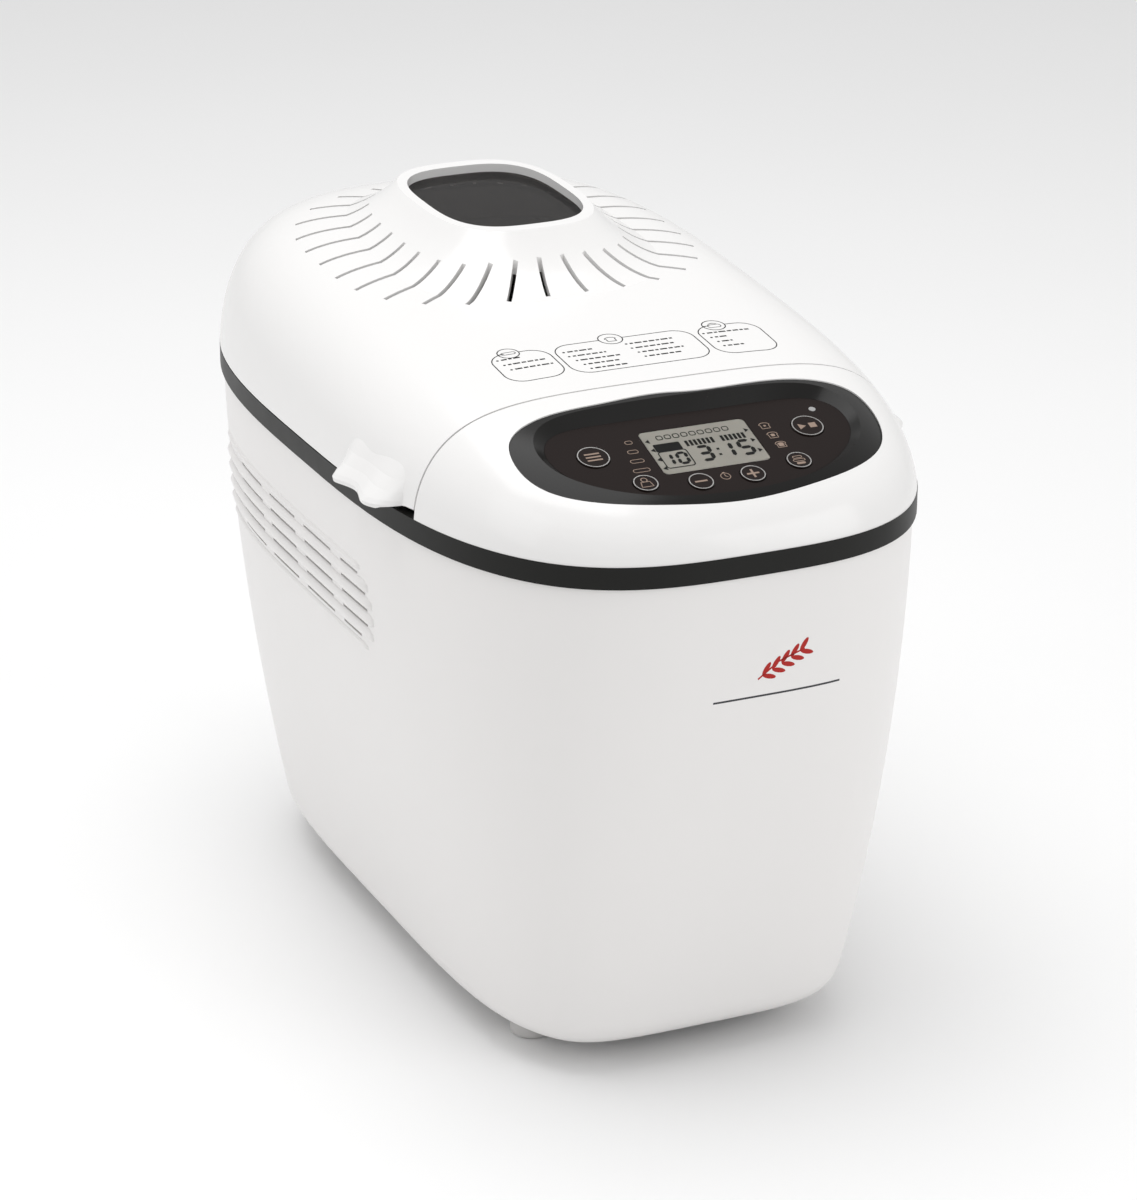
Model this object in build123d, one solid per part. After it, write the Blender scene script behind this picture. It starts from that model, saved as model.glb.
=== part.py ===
from build123d import *
import os
from math import atan, cos, pi, radians, sin, sqrt

# Bread machine: long oval casing, hinged domed lid over the oven, control deck in front.
# Millimetres, +Z up. The origin is on the floor under the middle of the casing.
# The control panel faces -Y, the lid hinge is at +Y, and X is the width.

# ---- driving dimensions ----
HALF_WIDTH = 120.8
HALF_LENGTH = 210.0
RIM_POWER = 3.08
FOOT_HEIGHT = 12.0
BODY_TOP = 241.2
BAND_TOP = 250.9
LID_BOTTOM = 251.4
DOME_BASE = 246.78
DOME_RISE = 61.25
DOME_SLOPE = 0.0878
SHELL = 2.5
GAP_Y = -115.5
GAP = 1.0

BODY_INSET = 1.5
TAPER_X = 31.2
TAPER_Y = 39.3
FOOT_POWER = 4.4
BOTTOM_ROUND = 18.0

WINDOW_Y = 64.0
WINDOW_TOP = 331.4
WINDOW_SLOPE = 0.03
WINDOW_HOLE_X = 34.0
WINDOW_HOLE_Y = 46.5
COLLAR_X = 38.3
COLLAR_Y = 53.5
COLLAR_FOOT = 310.5
COLLAR_FOOT_SLOPE = 0.055
FLARE = 36.0

PANEL_TILT = 17.7
PANEL_Y = -150.0
PANEL_Z = 282.9
BUTTON_GAP = 0.3
BUTTON_PROUD = 0.5

CAVITY_Y = 40.0
CAVITY_HALF_X = 75.0
CAVITY_HALF_Y = 124.0
CAVITY_FLOOR = 66.0
DECK_TOP = 246.0
SHEET = 1.0

PAN_HALF_X = 64.0
PAN_HALF_Y = 112.0
PAN_BOTTOM = 88.0
PAN_TOP = 214.0
PAN_WALL = 1.5
HANDLE_Z = 218.5
HANDLE_REACH = 36.0
WIRE = 2.0

DRIVE_Y = (-20.0, 100.0)
MOTOR_Y = -135.0
SHAFT = 4.0
RUNNING = 0.05
PULLEY_R = 44.0
MOTOR_PULLEY_R = 8.0
SPROCKET_R = 20.0
BELT = 1.8
BELT_CLEAR = 0.3

HINGE_Y = 207.5
HINGE_Z = 251.1
KNUCKLE_R = 2.9
HINGE_PIN_R = 1.5

INLET_X = 36.0
INLET_Z = 45.0
INLET_R = 8.0

FEET = [(-60, -114), (60, -114), (-60, 114), (60, 114)]

os.makedirs("parts", exist_ok=True)


def save(name, shape):
    shape.label = name
    export_step(shape, f"parts/{name}.step")


# ---- general shapes ----
def oval(half_x, half_y, power, z=0.0, slope=0.0, mid_y=0.0, count=28):
    """Closed superellipse wire; its height rises by slope along Y."""
    points = []
    for step in range(count):
        turn = 2 * pi * step / count
        c = cos(turn)
        s = sin(turn)
        grow = (abs(c) ** power + abs(s) ** power) ** (-1 / power)
        y = mid_y + half_y * s * grow
        points.append((half_x * c * grow, y, z + slope * y))
    knots = [step / count for step in range(count + 1)]
    return Wire([Edge.make_spline(points, periodic=True, parameters=knots)])


def oval_plate(half_x, half_y, power, z0, z1, mid_y=0.0):
    face = Face(oval(half_x, half_y, power, z0, 0.0, mid_y))
    return Solid.extrude(face, Vector(0, 0, z1 - z0))


def cylinder(x, y, z0, z1, radius):
    return Pos(x, y, (z0 + z1) / 2) * Cylinder(radius, z1 - z0)


def block(x0, x1, y0, y1, z0, z1):
    return Pos((x0 + x1) / 2, (y0 + y1) / 2, (z0 + z1) / 2) * Box(x1 - x0, y1 - y0, z1 - z0)


def rounded(half_x, half_y, corner, z0, z1, mid_y=0.0):
    """Upright plate with rounded corners."""
    base = Pos(0, mid_y, z0) * RectangleRounded(2 * half_x, 2 * half_y, corner)
    return extrude(base, z1 - z0, dir=(0, 0, 1))


def along_x(x0, x1, y, z, radius):
    return Pos((x0 + x1) / 2, y, z) * Rot(0, 90, 0) * Cylinder(radius, x1 - x0)


def along_y(x, y0, y1, z, radius):
    return Pos(x, (y0 + y1) / 2, z) * Rot(90, 0, 0) * Cylinder(radius, y1 - y0)


def solids(items):
    return Compound(children=[part for item in items for part in item.solids()])


# ---- casing ----
def body_size(z):
    """Half width, half length and outline power of the casing at height z."""
    s = (BODY_TOP - z) / (BODY_TOP - FOOT_HEIGHT)
    k = s - 0.47 * s * (1 - s)
    half_x = HALF_WIDTH - BODY_INSET - TAPER_X * k
    half_y = HALF_LENGTH - BODY_INSET - TAPER_Y * k
    return half_x, half_y, RIM_POWER + (FOOT_POWER - RIM_POWER) * s


def body_solid(inset, z0, corner):
    sections = []
    rows = 5
    for row in range(rows + 1):
        z = z0 + (BODY_TOP - z0) * row / rows
        half_x, half_y, power = body_size(z)
        sections.append(oval(half_x - inset, half_y - inset, power, z))
    solid = Solid.make_loft(sections)
    return fillet(solid.edges().sort_by(Axis.Z)[0], corner)


GRILLE_PITCH = 7.7
GRILLE_TOP = 205.7
GRILLE_FIRST = -34.5
GRILLE_STEP = 45.0
GRILLE_CELLS = 4
SLIT_LENGTH = 33.5
SLIT_HEIGHT = 1.2
FRONT_SLITS = (20.0, 27.5, 29.0, 28.5, 20.5)


def grille_slits(side):
    """Rows of level slits through one side wall, shorter at the rounded front end."""
    wall = side * (HALF_WIDTH - 6)
    slits = []
    for row, front_length in enumerate(FRONT_SLITS):
        z = GRILLE_TOP - GRILLE_PITCH * row
        for cell in range(GRILLE_CELLS):
            rear = GRILLE_FIRST + GRILLE_STEP * cell + row
            front = rear - (front_length if cell == 0 else SLIT_LENGTH)
            slit = block(wall - 14, wall + 14, front, rear, z - SLIT_HEIGHT / 2, z + SLIT_HEIGHT / 2)
            slits.append(slit)
    return slits


def outer_housing():
    shell = body_solid(0, FOOT_HEIGHT, BOTTOM_ROUND)
    shell -= body_solid(SHELL, FOOT_HEIGHT + SHELL, BOTTOM_ROUND - SHELL)
    half_x, half_y, power = body_size(FOOT_HEIGHT)
    hole_x = half_x - BASE_HOLE
    hole_y = half_y - BASE_HOLE
    shell -= oval_plate(hole_x, hole_y, power, FOOT_HEIGHT - 1, FOOT_HEIGHT + SHELL + 3)
    shell -= grille_slits(-1) + grille_slits(1)
    shell -= [cylinder(x, y, FOOT_HEIGHT - 1, FOOT_HEIGHT + 1.2, FOOT_PEG_R + FIT) for x, y in FEET]
    shell -= along_y(INLET_X, 150, 200, INLET_Z, INLET_R + 0.3)
    return shell


BASE_HOLE = 24.0
BASE_LIP = 4.0
BASE = 3.0
FOOT_R = 9.6
FOOT_PEG_R = 7.0
SCREW_R = 1.7
SCREW_HEAD_R = 3.4
SCREW_HEAD = 1.5
FIT = 0.2


def base_plate():
    """Plate that closes the hole in the casing's floor, with a row of air slots."""
    half_x, half_y, power = body_size(FOOT_HEIGHT)
    under = FOOT_HEIGHT - 1
    z = FOOT_HEIGHT + SHELL
    plug = BASE_HOLE + 0.5
    plate = oval_plate(half_x - BASE_HOLE + BASE_LIP, half_y - BASE_HOLE + BASE_LIP, power, z, z + BASE)
    plate += oval_plate(half_x - plug, half_y - plug, power, FOOT_HEIGHT, z)
    for x, y in FEET:
        plate -= cylinder(x, y, under, FOOT_HEIGHT + 1, FOOT_PEG_R + FIT)
    for x, y in base_screw_places():
        plate -= cylinder(x, y, under, z + BASE + 1, SCREW_R + 0.1)
        plate -= cylinder(x, y, under, FOOT_HEIGHT + SCREW_HEAD + 0.1, SCREW_HEAD_R + FIT)
    for row in range(6):
        y = -36 + 14 * row
        plate -= block(-34, 34, y - 1.6, y + 1.6, under, z + BASE + 1)
    return plate


def base_screw_places():
    return [(sx * 40, y) for sx in (-1, 1) for y in (-132, 70, 132)]


def foot(x, y):
    peg = cylinder(x, y, 0, FOOT_HEIGHT, FOOT_R)
    peg = fillet(peg.edges().sort_by(Axis.Z)[0], 2.5)
    return peg + cylinder(x, y, FOOT_HEIGHT, FOOT_HEIGHT + 1, FOOT_PEG_R)


def base_screw(x, y):
    shoulder = FOOT_HEIGHT + SCREW_HEAD + 0.1
    head = cylinder(x, y, FOOT_HEIGHT + 0.1, shoulder, SCREW_HEAD_R)
    return head + cylinder(x, y, shoulder, FOOT_HEIGHT + 9, SCREW_R)


# ---- rim, deck and dome ----
KNUCKLE = (14.0, 26.0, 26.4, 38.4)
HINGE_CLEAR = 0.4
BAND_WIDTH = 6.0
DECK = 3.0


def rear_bevel(up):
    """Wedge taken off the rear edge so that the lid can turn on its pins."""
    profile = Polyline(
        (0, HINGE_Y - 0.2, HINGE_Z),
        (0, HINGE_Y + 6, HINGE_Z),
        (0, HINGE_Y + 6, HINGE_Z + up * 6.2),
        close=True,
    )
    return extrude(make_face(profile), 62, dir=(1, 0, 0), both=True)


def rim_band():
    ring = oval_plate(HALF_WIDTH, HALF_LENGTH, RIM_POWER, BODY_TOP, BAND_TOP)
    inner_x = HALF_WIDTH - BAND_WIDTH
    inner_y = HALF_LENGTH - BAND_WIDTH
    ring -= oval_plate(inner_x, inner_y, RIM_POWER, BODY_TOP - 1, BAND_TOP + 1)
    ring -= rear_bevel(-1)
    around = KNUCKLE_R + HINGE_CLEAR
    for side in (-1, 1):
        ring += hinge_rod(side, KNUCKLE[2], KNUCKLE[3], KNUCKLE_R)
        ring -= hinge_rod(side, KNUCKLE[0] - HINGE_CLEAR, KNUCKLE[1] + HINGE_CLEAR, around)
        ring -= hinge_rod(side, KNUCKLE[0], KNUCKLE[3] + 1, HINGE_PIN_R + RUNNING)
    return ring


def hinge_rod(side, near, far, radius):
    """Cylinder on the hinge line, from near to far on one side of the middle."""
    ends = sorted((side * near, side * far))
    return along_x(ends[0], ends[1], HINGE_Y, HINGE_Z, radius)


def hinge_pin(side):
    return hinge_rod(side, KNUCKLE[0], KNUCKLE[3], HINGE_PIN_R)


def inner_deck():
    half_x = HALF_WIDTH - BAND_WIDTH
    half_y = HALF_LENGTH - BAND_WIDTH
    deck = oval_plate(half_x, half_y, RIM_POWER, DECK_TOP - DECK, DECK_TOP)
    return deck - rounded(CAVITY_HALF_X, CAVITY_HALF_Y, 30, DECK_TOP - 4, DECK_TOP + 1, CAVITY_Y)


def dome_stations(count):
    """Turns of the dome's profile, closer together where it bends over the rim."""
    fine = [0.5 * pi * 0.999 * step / 400 for step in range(401)]
    measure = [0.0]
    for before, after in zip(fine, fine[1:]):
        run = HALF_LENGTH * (cos(before) ** (1 / 3) - cos(after) ** (1 / 3))
        rise = DOME_RISE * (sin(after) - sin(before))
        measure.append(measure[-1] + sqrt(run * run + rise * rise) / 230 + (after - before) / 1.57)
    picked = []
    for number in range(count):
        target = measure[-1] * number / (count - 1)
        picked.append(next(turn for turn, value in zip(fine, measure) if value >= target - 1e-9))
    return picked


def dome(inset, drop):
    """Domed solid over the rim; its top plane leans up towards the rear."""
    sections = []
    for turn in dome_stations(15):
        plan = cos(turn) ** (1 / 3)
        lift = sin(turn)
        z = DOME_BASE - drop + DOME_RISE * lift
        slope = DOME_SLOPE * lift
        half_x = (HALF_WIDTH - inset) * plan
        half_y = (HALF_LENGTH - inset) * plan
        sections.append(oval(half_x, half_y, RIM_POWER, z, slope))
    top = Solid.make_loft(sections)
    skirt = oval_plate(
        HALF_WIDTH - inset, HALF_LENGTH - inset, RIM_POWER, DOME_BASE - drop - 12, DOME_BASE - drop
    )
    return top + skirt


def slab(y0, y1, z0, z1):
    return block(-200, 200, y0, y1, z0, z1)


def collar(inset, top):
    """Concave collar that rises from the lid to the window, and its buried foot."""
    foot = COLLAR_FOOT - inset
    rows = 6
    sections = []
    for row in range(rows + 1):
        out = FLARE * (1 - row / rows)
        mix = (row / rows) ** 2.1
        slope = COLLAR_FOOT_SLOPE + (WINDOW_SLOPE - COLLAR_FOOT_SLOPE) * mix
        z = foot + (top - foot) * mix - slope * WINDOW_Y
        half_x = COLLAR_X - inset + out
        half_y = COLLAR_Y - inset + out
        sections.append(oval(half_x, half_y, 2.9, z, slope, WINDOW_Y))
    cap = Solid.make_loft(sections)
    buried = oval_plate(COLLAR_X - inset + FLARE, COLLAR_Y - inset + FLARE, 2.9, 280, foot - 5, WINDOW_Y)
    return cap, buried


def tilted(shape):
    """Sets a level shape, drawn under the window's rim plane, at the rim's slope."""
    degrees = atan(WINDOW_SLOPE) * 180 / pi
    return Pos(0, WINDOW_Y, WINDOW_TOP) * Rot(degrees, 0, 0) * Pos(0, -WINDOW_Y, 0) * shape


SLOT_COUNT = 30
SLOT_WIDTH = 2.2
SLOT_MID_Y = 64.0
SLOT_INNER_X = 50.5
SLOT_INNER_Y = 62.5
SLOT_OUTER_X = 86.0
SLOT_OUTER_Y = 81.5
SLOT_POWER = 3.1


def lid_slots():
    """Slots fanned round the window, evenly spaced on a large oval."""
    samples = 720
    points = []
    for step in range(samples + 1):
        turn = -pi / 2 + 2 * pi * step / samples
        grow = (abs(cos(turn)) ** SLOT_POWER + abs(sin(turn)) ** SLOT_POWER) ** (-1 / SLOT_POWER)
        points.append((grow * cos(turn), grow * sin(turn)))
    length = [0.0]
    for before, after in zip(points, points[1:]):
        run = (after[0] - before[0]) * SLOT_OUTER_X
        rise = (after[1] - before[1]) * SLOT_OUTER_Y
        length.append(length[-1] + sqrt(run * run + rise * rise))
    cutters = []
    for number in range(SLOT_COUNT):
        target = length[-1] * (number + 0.5) / SLOT_COUNT
        c, s = next(point for point, value in zip(points, length) if value >= target)
        start = Vector(SLOT_INNER_X * c, SLOT_MID_Y + SLOT_INNER_Y * s, 0)
        end = Vector(SLOT_OUTER_X * c, SLOT_MID_Y + SLOT_OUTER_Y * s, 0)
        middle = (start + end) * 0.5
        sense = 1 if end.Y >= start.Y else -1
        angle = (end - start).get_angle(Vector(1, 0, 0)) * sense
        slot = Box((end - start).length, SLOT_WIDTH, 60)
        cutters.append(Pos(middle.X, middle.Y, 310) * Rot(0, 0, angle) * slot)
    return cutters


GLASS = 3.0
GLASS_DROP = 4.0
LINER = 1.5
LINER_BASE = 252.0
LINER_TOP = 289.0
LINER_MID_Y = 37.0
LINER_HALF_Y = 147.0


def lid_screw_places():
    """Six places on an oval 8 mm inside the lid's edge."""
    places = []
    for degrees in (10, 50, 130, 170, 206, 334):
        turn = radians(degrees)
        c = cos(turn)
        s = sin(turn)
        grow = (abs(c) ** RIM_POWER + abs(s) ** RIM_POWER) ** (-1 / RIM_POWER)
        places.append(((HALF_WIDTH - 8) * c * grow, (HALF_LENGTH - 8) * s * grow))
    return places


GRIP_BURIED = 1.0
GRIP_OUTLINE = (
    (-50, 0.0), (-56, 6.8), (-61.5, 10.6), (-68, 9.2), (-77, 7.4),
    (-86, 10.2), (-93.5, 12.2), (-101, 9.6), (-106.5, 0.0),
)
GRIP_LEVELS = (
    (252.4, 0.95), (254.2, 1.0), (256.0, 0.88), (259.5, 0.55), (264.0, 0.27), (270.0, 0.08), (277.0, 0.0),
)


def lid_side(y, z):
    """Half width of the lid's outer surface at a point on its side."""
    rise = (z - DOME_BASE) / (DOME_RISE + DOME_SLOPE * y)
    reach = (1 - rise * rise) ** (RIM_POWER / 6)
    return HALF_WIDTH * (reach - (abs(y) / HALF_LENGTH) ** RIM_POWER) ** (1 / RIM_POWER)


def lid_grip(side):
    """Finger lip with two lobes that flares out of the lid's lower front corner."""
    inner = side * (HALF_WIDTH - 18)
    wires = []
    for z, reach in GRIP_LEVELS:
        points = []
        for y, out in GRIP_OUTLINE:
            points.append((side * (lid_side(y, z) - GRIP_BURIED + out * reach), y, z))
        first = (inner, points[0][1], z)
        last = (inner, points[-1][1], z)
        lines = [Edge.make_line(points[-1], last), Edge.make_line(last, first)]
        wires.append(Wire([Edge.make_spline(points)] + lines + [Edge.make_line(first, points[0])]))
    return Solid.make_loft(wires, ruled=True)


def lid_arch():
    """Cut that lifts the lid's lower edge between the grips and the control deck."""
    rear = -98
    arch = [(-120, 255.2), (-109, 254.6), (-102, 253.2), (rear, 251.3), (rear, 250), (-120, 250)]
    profile = Polyline(*[(0, y, z) for y, z in arch], close=True)
    return extrude(make_face(profile), 200, dir=(1, 0, 0), both=True)


def lid_shell():
    outer = dome(0, 0)
    inner = dome(SHELL, SHELL)
    cap, buried = collar(0, WINDOW_TOP)
    shell = outer + cap + buried
    for side in (-1, 1):
        shell += lid_grip(side)
    shell &= slab(GAP_Y + GAP / 2, 300, LID_BOTTOM, 400)
    shell -= inner & slab(GAP_Y + GAP / 2 + SHELL, 300, 200, 400)
    shell -= collar(SHELL, WINDOW_TOP - GLASS_DROP - GLASS)[0]
    shell -= tilted(oval_plate(WINDOW_HOLE_X + 3, WINDOW_HOLE_Y + 3, 3.1, -30, 0.1 - GLASS_DROP, WINDOW_Y))
    shell -= tilted(oval_plate(WINDOW_HOLE_X, WINDOW_HOLE_Y, 3.1, -20, 20, WINDOW_Y))
    shell -= lid_slots()
    shell -= lid_arch()
    for x, y in lid_screw_places():
        boss = cylinder(x, y, 253.6, 264, 4.6) & outer
        shell += boss
        shell -= cylinder(x, y, 250, 262, 1.65)
    shell -= rear_bevel(1)
    around = KNUCKLE_R + HINGE_CLEAR
    for side in (-1, 1):
        shell += hinge_rod(side, KNUCKLE[0], KNUCKLE[1], KNUCKLE_R)
        shell -= hinge_rod(side, KNUCKLE[2] - HINGE_CLEAR, KNUCKLE[3] + HINGE_CLEAR, around)
        shell -= hinge_rod(side, KNUCKLE[0] - 1, KNUCKLE[3], HINGE_PIN_R + RUNNING)
    return shell


def liner_solid(inset, base, top):
    """Pressed inner dome: a rounded box that closes in towards its flat top."""
    levels = []
    for lift, close, corner in ((0.0, 0.0, 60), (0.6, 5.0, 56), (1.0, 24.0, 40)):
        width = 2 * (100 - inset - close)
        length = 2 * (LINER_HALF_Y - inset - close)
        height = base + (top - base) * lift
        levels.append(Pos(0, LINER_MID_Y, height) * RectangleRounded(width, length, corner - inset))
    return loft(levels, ruled=True)


def lid_liner():
    liner = liner_solid(0, LINER_BASE, LINER_TOP)
    flange = oval_plate(HALF_WIDTH - 4, HALF_LENGTH - 4.2, RIM_POWER, LINER_BASE, LINER_BASE + LINER)
    liner += flange & slab(GAP_Y + 3.6, HINGE_Y - 6, 240, 300)
    inner = liner_solid(LINER, LINER_BASE - 8, LINER_TOP - LINER)
    liner -= inner
    liner -= oval_plate(WINDOW_HOLE_X, WINDOW_HOLE_Y, 3.1, 280, 300, WINDOW_Y)
    liner -= [cylinder(x, y, 250, 256, 1.8) for x, y in lid_screw_places()]
    return liner


GASKET_INSET = 15.0
GASKET = 4.0
GASKET_BOTTOM = 247.6
GASKET_FRONT = -106.0


def lid_gasket():
    """Seal under the liner's flange, closed across the front by a straight bar."""
    inner = GASKET_INSET + GASKET
    half_x = HALF_WIDTH - GASKET_INSET
    half_y = HALF_LENGTH - GASKET_INSET
    plate = oval_plate(half_x, half_y, RIM_POWER, GASKET_BOTTOM, LINER_BASE)
    ring = plate - oval_plate(HALF_WIDTH - inner, HALF_LENGTH - inner, RIM_POWER, 240, 260)
    ring &= slab(GASKET_FRONT, 300, 240, 260)
    return ring + (plate & slab(GASKET_FRONT, GASKET_FRONT + GASKET, 240, 260))


def lid_screw(x, y):
    return cylinder(x, y, 251.2, 252, 3) + cylinder(x, y, 252, 261, 1.6)


def window_glass():
    half_x = WINDOW_HOLE_X + 2.8
    half_y = WINDOW_HOLE_Y + 2.8
    return tilted(oval_plate(half_x, half_y, 3.1, -GLASS_DROP - GLASS, -GLASS_DROP, WINDOW_Y))


def liner_glass():
    half_x = WINDOW_HOLE_X + 3
    half_y = WINDOW_HOLE_Y + 3
    return oval_plate(half_x, half_y, 3.1, LINER_TOP, LINER_TOP + 2.5, WINDOW_Y)


# ---- control deck ----
def bezel_outline(inset):
    """Upright prism over the outline of the recess in the control deck."""
    half = [(0, -128), (35, -128.6), (67, -131), (79.5, -137.5), (83, -149), (77.5, -169.5), (61, -185)]
    half += [(32, -195.4)]
    points = half + [(0, -198.4)] + [(-x, y) for x, y in reversed(half[1:])]
    middle = -163.0
    shrink_x = 1 - inset / 83
    shrink_y = 1 - inset / 35
    ring = [(x * shrink_x, middle + (y - middle) * shrink_y, 200) for x, y in points]
    return Solid.extrude(Face(Wire([Edge.make_spline(ring, periodic=True)])), Vector(0, 0, 150))


PANEL = Plane(
    origin=(0, PANEL_Y, PANEL_Z),
    x_dir=(1, 0, 0),
    z_dir=(0, -sin(radians(PANEL_TILT)), cos(radians(PANEL_TILT))),
)


def panel_wire(grow_x, grow_y, height, shift=0.0):
    """Outline of the glossy fascia, in the sloping panel plane."""
    half = [(0, 16.3), (30, 16.2), (54, 15.0), (65.5, 8.5), (68.8, -2), (64.5, -16), (50, -29.6)]
    half += [(28, -38.4)]
    points = half + [(0, -41.3)] + [(-x, y) for x, y in reversed(half[1:])]
    middle = -12.5
    scaled = []
    for x, y in points:
        scaled.append((x * grow_x, middle + shift + (y - middle) * grow_y, height))
    knots = [step / len(scaled) for step in range(len(scaled) + 1)]
    local = Wire([Edge.make_spline(scaled, periodic=True, parameters=knots)])
    return PANEL.from_local_coords(local)


def panel_prism(grow, z0, z1):
    base = Face(panel_wire(grow, grow, z0))
    return Solid.extrude(base, PANEL.z_dir * (z1 - z0))


BUTTONS = {
    "menu_button": (-49.5, -5.0, 7.0),
    "start_stop_button": (49.5, -5.0, 7.0),
    "weight_button": (-35.2, -26.6, 5.4),
    "colour_button": (35.2, -26.6, 5.4),
    "minus_button": (-11.9, -30.8, 5.4),
    "plus_button": (11.9, -30.8, 5.4),
}
LCD = (0.0, -7.9, 24.6, 15.0)


def panel_cylinder(x, y, z0, z1, radius):
    return PANEL * Pos(x, y, (z0 + z1) / 2) * Cylinder(radius, z1 - z0)


def panel_block(x0, x1, y0, y1, z0, z1):
    middle = Pos((x0 + x1) / 2, (y0 + y1) / 2, (z0 + z1) / 2)
    return PANEL * middle * Box(x1 - x0, y1 - y0, z1 - z0)


def control_deck():
    outer = dome(0, 0)
    deck = outer - dome(SHELL, SHELL)
    deck += outer & slab(GAP_Y - GAP / 2 - SHELL, GAP_Y - GAP / 2, BAND_TOP, 400)
    deck &= slab(-300, GAP_Y - GAP / 2, BAND_TOP, 400)
    return deck - bezel_outline(0)


def panel_bezel():
    body = bezel_outline(0.2) & dome(0.4, 0.4)
    body &= panel_block(-120, 120, -80, 60, -5, 40)
    dish = Solid.make_loft([panel_wire(1.0, 1.0, 0), panel_wire(1.28, 1.42, 12, 1.5)])
    body -= dish
    body -= panel_prism(1.0, -1.0, 0.2)
    return body - panel_prism(0.94, -6, -0.9)


def panel_overlay():
    plate = panel_prism(0.998, -1.0, 0)
    x, y, half_x, half_y = LCD
    window = PANEL * Pos(x, y, -1) * RectangleRounded(2 * half_x, 2 * half_y, 2.5)
    plate -= extrude(window, 4, dir=PANEL.z_dir, both=True)
    for bx, by, radius in BUTTONS.values():
        plate -= panel_cylinder(bx, by, -2, 1, radius + BUTTON_GAP)
    return plate - panel_cylinder(57, 6.0, -2, 1, 1.55)


def lcd_lens():
    x, y, half_x, half_y = LCD
    window = PANEL * Pos(x, y, -1.0) * RectangleRounded(2 * half_x - 0.1, 2 * half_y - 0.1, 2.4)
    return extrude(window, 0.9, dir=PANEL.z_dir)


def lcd_module():
    x, y, half_x, half_y = LCD
    module = panel_block(x - half_x - 1, x + half_x + 1, y - half_y + 1, y + half_y + 1, -4.0, -1.05)
    return module + panel_block(x - 20, x + 20, y - half_y + 4, y - half_y + 7, -8, -4)


def button(x, y, radius):
    cap = panel_cylinder(x, y, -1.8, BUTTON_PROUD, radius)
    cap = chamfer(cap.edges().filter_by(GeomType.CIRCLE).sort_by(Axis.Z)[-1], 0.3)
    stem = panel_cylinder(x, y, -3.2, -1.8, 2.0)
    return cap + stem


def control_board():
    board = panel_block(-58, 58, -33, 10, -9.6, -8)
    for x, y in board_screw_places():
        board -= panel_cylinder(x, y, -10, -7, 1.7)
    return board


def board_screw_places():
    return [(-54, -28), (54, -28), (-43, 6), (43, 6)]


def tact_switch(x, y):
    body = panel_block(x - 3, x + 3, y - 3, y + 3, -8, -4.8)
    return body + panel_cylinder(x, y, -4.8, -4.2, 1.6)


def status_led():
    return panel_cylinder(57, 6.0, -8, 0.2, 1.5)


def board_screw(x, y):
    return panel_cylinder(x, y, -11.2, -9.6, 3.0) + panel_cylinder(x, y, -9.6, -5.2, 1.6)


# ---- oven ----
ELEMENT_Z = 96.0
ELEMENT_R = 3.2
ELEMENT_END_X = 14.0
ELEMENT_GAP = 6.0
PROBE_X = 40.0
PROBE_Z = 150.0
PROBE_R = 3.0


def oven_cavity():
    top = DECK_TOP + SHEET
    box = rounded(CAVITY_HALF_X - 0.2, CAVITY_HALF_Y - 0.2, 29.8, CAVITY_FLOOR, top, CAVITY_Y)
    box += rounded(CAVITY_HALF_X + 8, CAVITY_HALF_Y + 8, 38, DECK_TOP, top, CAVITY_Y)
    inside_x = CAVITY_HALF_X - 0.2 - SHEET
    inside_y = CAVITY_HALF_Y - 0.2 - SHEET
    box -= rounded(inside_x, inside_y, 28.8, CAVITY_FLOOR + SHEET, top + 1, CAVITY_Y)
    for y in DRIVE_Y:
        box -= cylinder(0, y, CAVITY_FLOOR - 1, CAVITY_FLOOR + 3, 8)
    front = CAVITY_Y - CAVITY_HALF_Y
    for x in (-ELEMENT_END_X, ELEMENT_END_X):
        box -= along_y(x, front - 5, front + 5, ELEMENT_Z, ELEMENT_R + 0.4)
    return box - along_y(PROBE_X, front - 5, front + 5, PROBE_Z, PROBE_R + FIT)


def heating_element():
    """Tubular ring round the foot of the pan, both ends out through the front wall."""
    front = CAVITY_Y - CAVITY_HALF_Y
    near = front + ELEMENT_GAP + 2
    far = CAVITY_Y + CAVITY_HALF_Y - ELEMENT_GAP
    side = CAVITY_HALF_X - ELEMENT_GAP
    half = [(ELEMENT_END_X, front - 14), (ELEMENT_END_X, near), (side, near), (side, far)]
    outline = half + [(-x, y) for x, y in reversed(half)]
    points = [(x, y, ELEMENT_Z) for x, y in outline]
    path = FilletPolyline(*points, radius=[6.5, 24, 24, 24, 24, 6.5])
    section = Plane(origin=path @ 0, z_dir=path % 0) * Circle(ELEMENT_R)
    return sweep(section, path=path)


def element_clip(x, y):
    """Strap on the cavity wall that holds the ring."""
    side = 1 if x > 0 else -1
    wall = side * (CAVITY_HALF_X - 0.2 - SHEET)
    ends = sorted((wall, wall - side * 8.6))
    top = ELEMENT_Z - ELEMENT_R - FIT
    return block(ends[0], ends[1], y - 4, y + 4, top - 1.4, top)


def temperature_probe():
    front = CAVITY_Y - CAVITY_HALF_Y
    probe = along_y(PROBE_X, front - 12, front + 7, PROBE_Z, PROBE_R)
    return probe + along_y(PROBE_X, front - 3, front, PROBE_Z, 2 * PROBE_R)


def thermal_fuse():
    front = CAVITY_Y - CAVITY_HALF_Y
    fuse = Pos(-40, front - 4, 180) * Rot(0, 90, 0) * Cylinder(3, 20)
    return fuse + block(-46, -34, front - 4, front + 0.2, 178.5, 181.5)


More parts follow.
